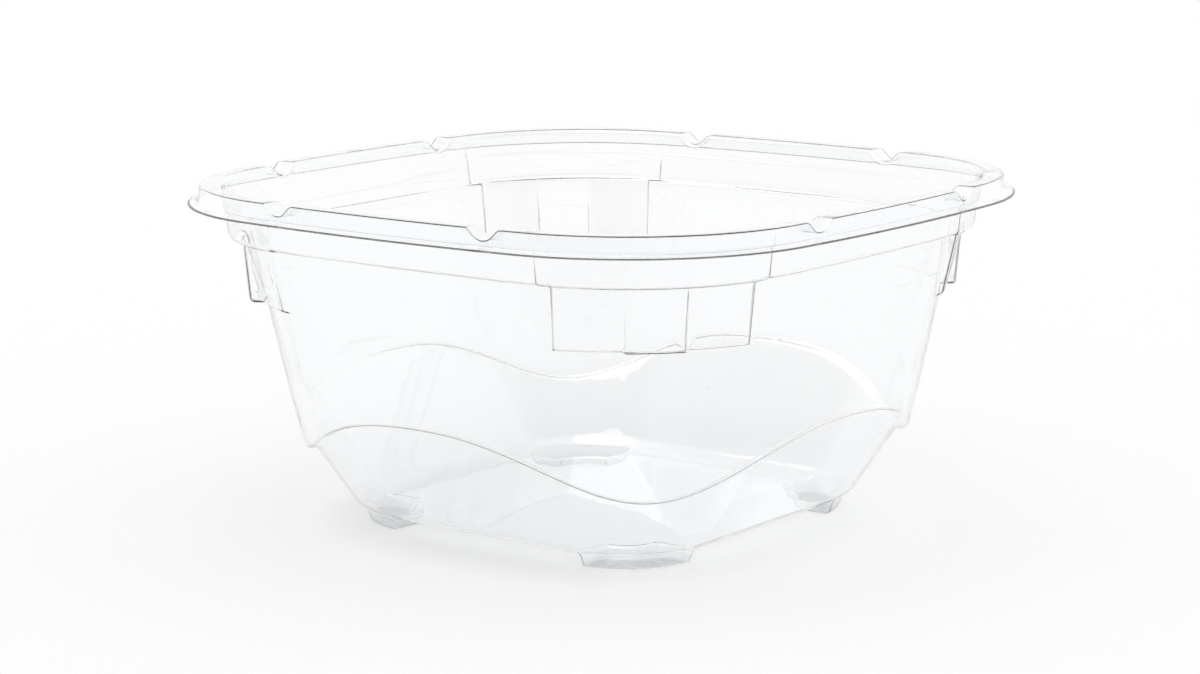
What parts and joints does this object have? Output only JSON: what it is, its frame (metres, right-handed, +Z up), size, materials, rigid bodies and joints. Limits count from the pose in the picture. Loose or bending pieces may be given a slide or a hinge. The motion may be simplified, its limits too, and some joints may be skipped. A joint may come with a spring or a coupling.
{
  "type": "top seal food bowl",
  "caption": "Clear formed plastic food bowl: a rounded square with a flat sealing land, a turned-down rim with vent notches, denesting lugs, a wavy waist ledge and corner feet.",
  "frame": {"origin": "middle of the plane the four feet stand on", "axes": "+Z up through the open mouth, +X and +Y square to two neighbouring sides"},
  "size_m": [0.1548, 0.1548, 0.074],
  "materials": {
    "clear_sheet": "gloss"
  },
  "bodies": {
    "root": {"bowl": "clear_sheet"}
  },
  "joints": []
}
